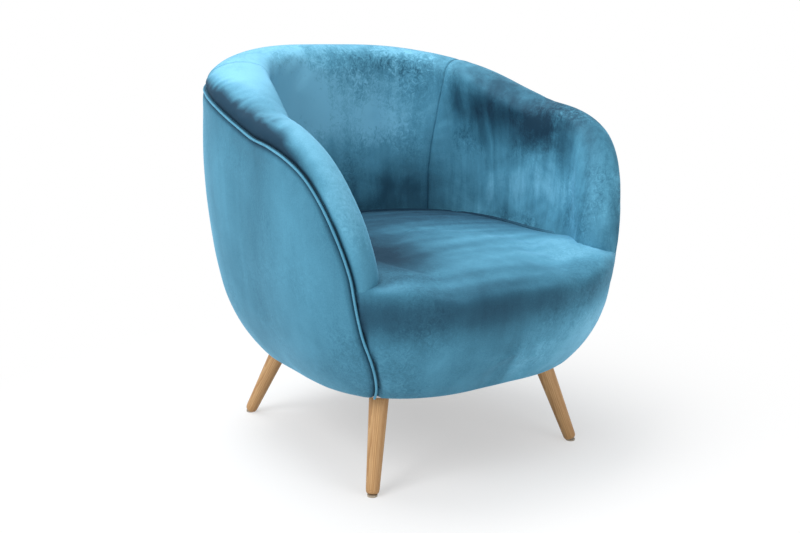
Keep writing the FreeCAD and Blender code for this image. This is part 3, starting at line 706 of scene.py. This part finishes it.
def outside_cover():
    heights = half_welt[:, 2]
    line = np.stack((welt_angles * ANGLE_WEIGHT, heights), 1)
    corner = int(np.argmin(np.abs(heights - RIM_CORNER_Z)))
    top = even_line(line[:corner + 1], SHELL_COLUMNS)
    edge = even_line(line[corner:], SHELL_ROWS)[::-1]
    back = np.stack((np.zeros(SHELL_ROWS), np.linspace(UNDER_Z, heights[0], SHELL_ROWS)), 1)
    low = np.stack((np.linspace(0, edge[0][0], SHELL_COLUMNS), np.full(SHELL_COLUMNS, UNDER_Z)), 1)
    patch = four_sided(low, top, back, edge)
    grid = both_sides(np.array([[on_body(a / ANGLE_WEIGHT, max(h, UNDER_Z)) for a, h in row]
                                for row in patch]))
    far, run = seam_distance(grid, [whole_welt])
    normal = grid_normals(grid, grid * LEVEL)
    lift = -4.6 * bell(far, width=4.2) + 0.9 * bell(far - 16, width=12)
    lift += 1.1 * noise_field(grid, size=130.0, seed=1)
    lift += 0.35 * noise_field(grid, size=45.0, seed=2)
    lift += 0.5 * gathers(far, run, size=9.0, reach=16.0, seed=3)
    lift -= hem_tuck(grid)
    grid = grid + normal * lift[..., None]
    nap_and_painted_light = 0.62 + 0.10 * noise_field(grid, size=150.0, seed=5, stretch=(1, 1, 0.35))
    nap_and_painted_light += 0.07 * noise_field(grid, size=60.0, seed=6, stretch=(1, 1, 0.5))
    # Painted shade in the crevice along the welt, fading out over a few centimetres
    nap_and_painted_light -= 0.62 * bell(far, width=6.0) + 0.14 * np.exp(-far / 34.0)
    obj = mesh_object("outside_cover", grid.reshape(-1, 3), grid_faces(*grid.shape[:2]), velvet)
    store(obj, "nap_and_painted_light", nap_and_painted_light)
    store(obj, "brush", 0.22)
    face_outward(obj)
    add_modifier(obj, "SOLIDIFY", thickness=SHELL_COVER * MM, offset=-1.0)
    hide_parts("outside_shell")
    return obj


# Inside pads: over the roll, then down the inside face, with a seam each side of the back
def pad_section(run):
    """Points of the section at a run, each a distance up and a depth in."""
    sizes = station_sizes(run)
    reach, half, rise, _ = sizes
    line = [(reach - WELT_LEDGE + WELT_LEDGE * k / LEDGE_POINTS, 0.0) for k in range(LEDGE_POINTS)]
    for turn in np.linspace(0, math.pi, ROLL_POINTS):
        line.append((reach + rise * math.sin(turn), half * (1 - math.cos(turn))))
    for up in np.linspace(reach, HOLE_R, WALL_POINTS)[1:]:
        line.append((up, wall_at(up, sizes)))
    return smooth_line(even_line(np.array(line, float), PAD_ROWS), rounds=9)


section_store = {}


def pad_section_cached(run):
    key = round(abs(run), 2)
    if key not in section_store:
        section_store[key] = pad_section(key)
    return section_store[key]


def pad_grid():
    """Rows down the section, columns from the middle of the back to the arm's end."""
    seam_runs = smooth_line(np.interp(np.arange(PAD_ROWS), SEAM_ROWS, SEAM_RUNS), rounds=8)
    last_run = TURN_END + NOSE_TUCK
    columns = [seam_runs * c / BACK_COLUMNS for c in range(BACK_COLUMNS)]
    columns += [seam_runs + (TURN_ANGLE - seam_runs) * c / ARM_COLUMNS for c in range(ARM_COLUMNS)]
    columns += [np.full(PAD_ROWS, TURN_ANGLE + (last_run - TURN_ANGLE) * c / NOSE_COLUMNS)
                for c in range(NOSE_COLUMNS + 1)]
    grid = np.zeros((PAD_ROWS, len(columns), 3))
    for c, runs in enumerate(columns):
        for k in range(PAD_ROWS):
            grid[k, c] = place(runs[k], *pad_section_cached(runs[k])[k])
    return smooth_line(grid.transpose(1, 0, 2), rounds=2).transpose(1, 0, 2)


def pad_relief(pads, normal, away_welt, along_welt, away_seam, along_seam):
    """The pads with the crevice at the welt, the seams' dips, gathers and waves."""
    lift = -8.6 * bell(away_welt, width=7.0) - 1.3 * bell(away_seam, width=2.2)
    lift += 0.4 * bell(away_seam - 14, width=10)
    lift += 1.0 * noise_field(pads, size=110.0, seed=11)
    lift += 0.25 * noise_field(pads, size=40.0, seed=12)
    lift += 1.5 * gathers(away_welt, along_welt, size=8.0, reach=22.0, seed=13)
    lift += 0.7 * gathers(away_seam, along_seam, size=14.0, reach=14.0, seed=14)
    return pads + normal * lift[..., None]


def frayed_edge(along):
    """Uneven edge of the brushed band, coarse and fine waves along the welt."""
    fray = [sum(noise_at(v / size, 4.4 + size, 0.2) * deep for size, deep in BAND_FRAY)
            for v in along.reshape(-1)]
    return np.array(fray).reshape(along.shape)


def pad_nap_and_painted_light(shaped, normal, away_welt, along_welt, away_seam):
    """Lay of the pads' pile, low where it is brushed dark, with a painted highlight on the roll's
    top and painted shade in the crevices, and how uneven it is.
    """
    angle, height = angle_round(shaped), shaped[..., 2]
    near_arm, far_arm = rising(angle, 50.0, 3.0), rising(-angle, 52.0, 3.0)
    nap_and_painted_light = 0.62 + 0.13 * noise_field(shaped, size=120.0, seed=15, stretch=(1, 1, 0.45))
    # Painted highlight: the roll's top, facing up, is painted pale, but less so on the far arm and
    # where the back meets the near arm
    upward = clipped_share(normal[..., 2], 0.25, 0.6)
    nap_and_painted_light += 0.24 * upward * (1 - 1.3 * far_arm) - 0.20 * upward * bell(angle - 26.0, width=20.0)
    nap_and_painted_light += nap_and_painted_light_patches(shaped, PAD_PATCHES)
    fine = noise_field(shaped, size=38.0, seed=16, stretch=(1, 1, 0.4))
    nap_and_painted_light += 0.08 * fine * (1 - 0.6 * near_arm)
    # The dark band brushed along the near arm's welt, with a frayed edge
    fray = frayed_edge(along_welt)
    band_width = 23.0 + 16.0 * bell(angle - 98.0, width=20.0)
    band = rising(band_width + fray, away_welt, 3.0 + 0.14 * away_welt)
    band *= np.exp(-((angle - 82.0) / 36.0) ** 6)
    nap_and_painted_light += 0.012 * fray * band - 1.3 * band * near_arm
    # Shade in the crevice, beside the back's welt, in the seams and low down inside
    middle = (1 - near_arm) * (1 - far_arm)
    nap_and_painted_light -= 0.62 * bell(away_welt, width=7.5) * (1 - 0.6 * far_arm)
    nap_and_painted_light -= 0.18 * bell(away_welt, width=30.0) * middle + 0.05 * np.exp(-away_seam / 2.0)
    low_down = np.clip((470.0 - height) / 90.0, 0, 1) * clipped_share(away_welt, 70, 70)
    nap_and_painted_light -= 0.22 * low_down * (1 - far_arm)
    brush = 0.42 - 0.20 * near_arm + 0.40 * far_arm
    brush += 0.55 * bell(angle + 26.0, 26.0, height - 690.0, 55.0)
    brush += 0.25 * bell(angle + 30.0, 20.0, height - 440.0, 60.0)
    return nap_and_painted_light, brush


def inside_pads():
    pads = both_sides(pad_grid())
    middle = pads.shape[1] // 2
    cuts = (0, middle - BACK_COLUMNS, middle + BACK_COLUMNS, pads.shape[1] - 1)
    seams = [even_line(pads[:, cut], SEAM_POINTS) for cut in (cuts[2], cuts[1])]
    away_welt, along_welt = seam_distance(pads, [whole_welt])
    away_seam, along_seam = seam_distance(pads, seams)
    normal = grid_normals(pads, -pads * LEVEL + (0.0, 0.0, PADS_FACE_UP))
    shaped = pad_relief(pads, normal, away_welt, along_welt, away_seam, along_seam)
    nap_and_painted_light, brush = pad_nap_and_painted_light(shaped, normal, away_welt, along_welt, away_seam)
    held = bell(away_welt, WELT_HOLD) + bell(away_seam, SEAM_HOLD)
    held += np.clip((TURN_Z + BESIDE_SEAT - shaped[..., 2]) / BESIDE_FADE, 0, 1)
    names = (("inside_arm_cover_left", "inside_arm_pad_left"),
             ("inside_back_cover", "inside_back_pad"),
             ("inside_arm_cover_right", "inside_arm_pad_right"))
    made = []
    for (name, cad_name), start, end in zip(names, cuts[:-1], cuts[1:]):
        own = slice(start, end + 1)
        part = shaped[:, own]
        obj = mesh_object(name, part.reshape(-1, 3), grid_faces(*part.shape[:2]), velvet)
        for kind, values in (("nap_and_painted_light", nap_and_painted_light), ("brush", brush), ("held", held)):
            store(obj, kind, values[:, own])
        face_outward(obj)
        settle_cloth(obj, cap=3.0, slack=0.002, pressure=0.30)
        add_modifier(obj, "SUBSURF", levels=1, render_levels=1)
        add_modifier(obj, "SOLIDIFY", thickness=SOFT_COVER * MM, offset=-1.0)
        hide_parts(cad_name)
        made.append(obj)
    return made


# Seat and front: one cover from the crown over the rounded front down to the underside
def crown_over(x, y):
    """Height of the seat's crown, held up a little at the front corners."""
    crown = CROWN_Z - CROWN_R + math.sqrt(CROWN_R ** 2 - x ** 2 - (y - CROWN_SETBACK) ** 2)
    aside = min(max((abs(x) - LIFT_ASIDE) / LIFT_ASIDE_SPAN, 0.0), 1.0)
    ahead = min(max((-y - LIFT_AHEAD) / LIFT_AHEAD_SPAN, 0.0), 1.0)
    return crown + CORNER_LIFT * aside ** 2 * (3 - 2 * aside) * ahead ** 2 * (3 - 2 * ahead)


def seat_line(angle):
    """Points of the cover from the crown's middle outward: over the front's edge and down
    to the underside, or at the sides and the back down behind the inside pads."""
    turn = abs(angle)
    front = rising(turn, FRONT_ANGLE, FRONT_SOFTNESS)
    tuck_depth = wall_at(TUCK_Z - TURN_Z, station_sizes(min(turn, TURN_ANGLE))) - TUCK_MARGIN
    corner = min(max((turn - NOSE_START) / NOSE_SPAN, 0.0), 1.0)
    nose_r = SIDE_NOSE_R + (NOSE_R - SIDE_NOSE_R) * corner ** NOSE_POWER
    edge_top, tucked = on_body(angle, CROWN_Z, nose_r), on_body(angle, TUCK_Z, tuck_depth)
    top = edge_top[:2] * front + tucked[:2] * (1 - front)
    line = []
    for share in np.linspace(0, 1, TOP_POINTS):
        x, y = SEAT_CENTRE + (top - SEAT_CENTRE) * share
        line.append((x, y, crown_over(x, y)))
    top_z = crown_over(*top)
    if front > 0.5:
        level = top_z - nose_r
        for tilt in np.linspace(math.pi / 2, 0, NOSE_POINTS + 1)[1:]:
            line.append(on_body(angle, level + nose_r * math.sin(tilt),
                                nose_r * (1 - math.cos(tilt))))
        for height in np.linspace(level, UNDER_Z, FRONT_POINTS + 1)[1:]:
            line.append(on_body(angle, height))
    else:
        for drop in np.linspace(0, TUCK_DROP, NOSE_POINTS + FRONT_POINTS + 1)[1:]:
            line.append((top[0], top[1], top_z - drop))
    line = np.array(line, float)
    down = even_line(line[TOP_POINTS - 1:], SIDE_POINTS)
    return np.concatenate((line[:TOP_POINTS], down[1:]))


def tuck_line():
    """The line where the cover goes down behind the inside pads."""
    points = []
    for angle in np.linspace(-TUCK_ANGLE, TUCK_ANGLE, TUCK_POINTS):
        wall = station_sizes(min(abs(angle), TURN_ANGLE))[3]
        x, y, _ = on_body(angle, TUCK_Z - TUCK_LINE_DROP, wall)
        points.append((x, y, crown_over(x, y)))
    return np.array(points)


def seat_nap_and_painted_light(grid, normal, away_tuck, away_welt):
    """Lay of the seat's pile, low where it is brushed dark, with a painted highlight, a painted
    shadow and painted shade added.
    """
    x, y, height = grid[..., 0], grid[..., 1], grid[..., 2]
    topside = clipped_share(normal[..., 2], 0.2, 0.6)
    nap_and_painted_light = 0.56 + 0.08 * noise_field(grid, size=130.0, seed=25, stretch=(0.5, 1, 1))
    nap_and_painted_light += 0.05 * noise_field(grid, size=40.0, seed=26)
    nap_and_painted_light += 0.16 * noise_field(grid, size=34.0, seed=27, stretch=(0.22, 1.5, 1)) * topside
    # Painted highlight over the front edge's top, the painted shadow of the near arm at the left,
    # and painted shade growing darker toward the back
    nap_and_painted_light += 0.24 * topside * bell(y + 245.0, width=70.0) * (0.75 + 0.25 * np.tanh(x / 90.0))
    nap_and_painted_light -= 0.74 * topside * bell(x + 165.0, 82.0, y + 140.0, 105.0)
    nap_and_painted_light -= 0.95 * np.clip((y + 330.0) / 500.0 - 0.40, 0, 0.42)
    nap_and_painted_light += nap_and_painted_light_patches(grid, SEAT_PATCHES)
    # Shade along the pads, in the crevice at the welt and in the hollow under the front edge
    nap_and_painted_light -= 0.24 * np.exp(-away_tuck / 32.0) + 0.45 * bell(away_welt, width=6.0)
    return nap_and_painted_light - 0.36 * bell(height - 322.0, width=38.0) * (y < -200.0)


def seat_cover():
    angles = [-180.0 + 360.0 * c / SEAT_COLUMNS for c in range(SEAT_COLUMNS)]
    grid = np.array([seat_line(angle) for angle in angles]).transpose(1, 0, 2)
    grid = np.concatenate((grid, grid[:, :1]), axis=1)
    away_tuck, along_tuck = seam_distance(grid, [tuck_line()])
    away_welt, along_welt = seam_distance(grid, [whole_welt])
    normal = grid_normals(grid, grid * LEVEL + (0.0, 0.0, SEAT_FACES_UP))
    lift = -7.0 * bell(away_tuck, width=12.0) - 6.5 * bell(away_welt, width=5.5)
    lift += 1.2 * noise_field(grid, size=120.0, seed=21)
    lift += 0.4 * noise_field(grid, size=42.0, seed=22)
    lift += 1.3 * gathers(away_tuck, along_tuck, size=14.0, reach=20.0, seed=23)
    lift += 0.7 * gathers(away_welt, along_welt, size=10.0, reach=12.0, seed=24)
    lift -= hem_tuck(grid)
    grid = grid + normal * lift[..., None]
    nap_and_painted_light = seat_nap_and_painted_light(grid, normal, away_tuck, away_welt)
    flat, height = grid.reshape(-1, 3), grid[..., 2]
    turned = np.abs([plan_of(p) for p in flat]).reshape(height.shape)
    hidden = (turned < front_edge_angle(height) + HIDDEN_MARGIN) & (height < HIDDEN_TOP_Z)
    keep = []
    for quad in grid_faces(*height.shape):
        middle = flat[list(quad)].mean(axis=0)
        least = front_edge_angle(middle[2]) - CUT_MARGIN
        if middle[2] >= CUT_TOP_Z or abs(plan_of(middle)) >= least:
            keep.append(quad)
    obj = mesh_object("seat_cover", flat, keep, velvet)
    store(obj, "nap_and_painted_light", nap_and_painted_light)
    store(obj, "brush", 0.28)
    held = bell(away_welt, WELT_HOLD) + bell(away_tuck, TUCK_HOLD)
    held += (height < UNDER_Z + HEM_HOLD) | hidden
    store(obj, "held", held)
    face_outward(obj)
    settle_cloth(obj, cap=3.5, slack=0.005, pressure=0.18)
    add_modifier(obj, "SOLIDIFY", thickness=SOFT_COVER * MM, offset=-1.0)
    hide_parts("seat_cushion", "front_border")
    return obj


# Welt: a fabric cord sunk in the seam line and drawn inward into the flange it is sewn in by
def cord_rings(line):
    ahead = np.gradient(line, axis=0)
    ahead /= np.linalg.norm(ahead, axis=1, keepdims=True)
    out = off_axis(line)
    out -= ahead * (out * ahead).sum(1, keepdims=True)
    out /= np.linalg.norm(out, axis=1, keepdims=True)
    across = np.cross(ahead, out)
    rings = []
    for i, p in enumerate(line):
        size = WELT_R * (1 + CORD_WOBBLE * noise_at(i * 0.45, 3.1, 0.7))
        for k in range(CORD_SIDES):
            turn = 2 * math.pi * k / CORD_SIDES
            deep = math.cos(turn) * size - CORD_FLANGE * max(-math.cos(turn), 0.0) ** 6
            rings.append(p + out[i] * deep + across[i] * size * math.sin(turn))
    return rings


def welt_cord():
    line = even_line(whole_welt, CORD_POINTS)
    inward = -off_axis(line)
    inward /= np.linalg.norm(inward, axis=1, keepdims=True)
    sway = np.array([noise_at(i * 0.11, 8.0, 2.0) for i in range(CORD_POINTS)])
    line = line + inward * (CORD_SINK + CORD_SWAY * sway)[:, None]
    obj = mesh_object("welt_cord", cord_rings(line), closed_faces(CORD_POINTS, CORD_SIDES), velvet)
    face_outward(obj)
    turns = np.radians(np.arange(CORD_SIDES) * 360.0 / CORD_SIDES)
    # Painted light and shade: the cord is painted pale on its outward side and dark on its flanks
    # sunk in the seam
    store(obj, "nap_and_painted_light", np.tile(np.clip(0.42 + 0.36 * np.cos(turns), 0.1, 1), CORD_POINTS))
    store(obj, "brush", 0.2)
    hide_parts("welt")
    return obj


# Legs: turned tapers with rounded feet
def leg(name, cad_name, foot, lean):
    top, base = LEG_TOP_Z - FOOT_Z, FOOT_ROUND[-1][1]
    profile = list(FOOT_ROUND)
    for k in range(1, LEG_RINGS + 1):
        share = k / LEG_RINGS
        profile.append((FOOT_R + (LEG_TOP_R - FOOT_R) * share, base + (top - base) * share))
    axis = Vector(lean).normalized()
    length = axis.length / axis.z
    points = []
    for radius, rise in profile:
        for k in range(LEG_SIDES):
            spin = 2 * math.pi * k / LEG_SIDES
            points.append(np.array((radius * math.cos(spin), radius * math.sin(spin),
                                    rise * length)))
    obj = mesh_object(name, points, closed_faces(len(profile), LEG_SIDES), leg_wood)
    face_outward(obj)
    turn = Vector((0, 0, 1)).rotation_difference(axis)
    obj.matrix_world = Matrix.Translation(Vector(foot) * MM) @ turn.to_matrix().to_4x4()
    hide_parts(cad_name)
    return obj


covers = [outside_cover()] + inside_pads() + [seat_cover()]
covers.append(welt_cord())
for cover in covers:
    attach(cover, "root")

for side, sign in (("right", -1), ("left", 1)):
    for end, foot_y, lean_y in (("front", FRONT_Y, FRONT_LEAN), ("back", BACK_Y, BACK_LEAN)):
        made = leg("wood_leg_" + end + "_" + side, "leg_" + end + "_" + side,
                   (sign * LEG_X, foot_y, FOOT_Z), (-sign * LEAN_ASIDE, lean_y, 1.0))
        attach(made, "root")

# The solids that stay in view take their finish here
finishes = {"plywood": plywood, "webbing": webbing, "dust_cloth": dust_cloth,
            "plate_steel": plate_steel, "glide": glide, "leg_wood": leg_wood, "velvet": velvet}
slots = {part["node"]: part["material_slot"] for part in frame["record"]["subparts"]}
for name, obj in frame["nodes"].items():
    obj.data.materials.clear()
    obj.data.materials.append(finishes[slots[name]])


# Floor, light and camera
def floor_material():
    """Pale floor that keeps the shadow and turns to plain white away from the chair."""
    material, tree, shader = new_material("floor")
    out = [n for n in tree.nodes if n.type == "OUTPUT_MATERIAL"][0]
    shader.inputs["Base Color"].default_value = (0.90, 0.90, 0.90, 1.0)
    shader.inputs["Roughness"].default_value = 0.9
    white = node(tree, "Emission", Color=(1, 1, 1, 1), Strength=1.0)
    coords = node(tree, "TexCoord")
    far = node(tree, "VectorMath", {"operation": "LENGTH"})
    tree.links.new(coords.outputs["Object"], far.inputs[0])
    spread = node(tree, "MapRange", {"interpolation_type": "SMOOTHSTEP"},
                  Value=far.outputs["Value"], From_Min=0.15, From_Max=0.95,
                  To_Min=0.45, To_Max=1.0)
    share = math_node(tree, "MULTIPLY", seen_directly(tree), spread.outputs[0])
    surface = mixed(tree, share, shader.outputs[0], white.outputs[0])
    tree.links.new(surface, out.inputs[0])
    return material


def studio_world():
    """Soft light all round, seen by the eye as plain white."""
    world = bpy.data.worlds.new("studio")
    bpy.context.scene.world = world
    world.use_nodes = True
    tree = world.node_tree
    tree.nodes.clear()
    out = node(tree, "OutputWorld")
    backdrop = node(tree, "Background", Color=(1, 1, 1, 1), Strength=1.0)
    glow = node(tree, "Background", Color=(0.96, 0.98, 1.0, 1), Strength=0.48)
    surface = mixed(tree, seen_directly(tree), glow.outputs[0], backdrop.outputs[0])
    tree.links.new(surface, out.inputs[0])


def area_light(name, spot, target, size, power):
    data = bpy.data.lights.new(name, "AREA")
    data.shape = "RECTANGLE"
    data.size, data.size_y = size
    data.energy = power
    obj = bpy.data.objects.new(name, data)
    bpy.context.scene.collection.objects.link(obj)
    obj.location = spot
    obj.rotation_euler = (Vector(target) - Vector(spot)).to_track_quat("-Z", "Y").to_euler()


def photo_camera():
    """The camera solved from the photograph: lens in millimetres, place in metres."""
    data = bpy.data.cameras.new("camera")
    data.sensor_width, data.lens = 36.0, 45.25
    camera = bpy.data.objects.new("camera", data)
    bpy.context.scene.collection.objects.link(camera)
    right = Vector((0.8356, -0.5494, 0.0)).normalized()
    back = Vector((-0.5362, -0.8155, 0.2177)).normalized()
    up = back.cross(right).normalized()
    right = up.cross(back).normalized()
    turn = Matrix((right, up, back)).transposed().to_4x4()
    camera.matrix_world = Matrix.Translation(Vector((-1.0246, -1.5321, 0.7299))) @ turn
    bpy.context.scene.camera = camera


bpy.ops.mesh.primitive_plane_add(size=60.0, location=(0, 0, 0))
floor = bpy.context.object
floor.name = "floor"
floor.data.materials.append(floor_material())

studio_world()
area_light("key", spot=(-2.2, -0.4, 2.0), target=(0, 0, 0.4), size=(1.4, 1.4), power=40.0)
area_light("fill", spot=(0.6, -2.8, 1.3), target=(0, 0, 0.35), size=(1.8, 1.4), power=18.0)
area_light("top", spot=(-0.3, 0.5, 2.6), target=(0, 0, 0.5), size=(1.8, 1.4), power=46.0)
photo_camera()
bpy.context.scene.view_settings.view_transform = "Standard"
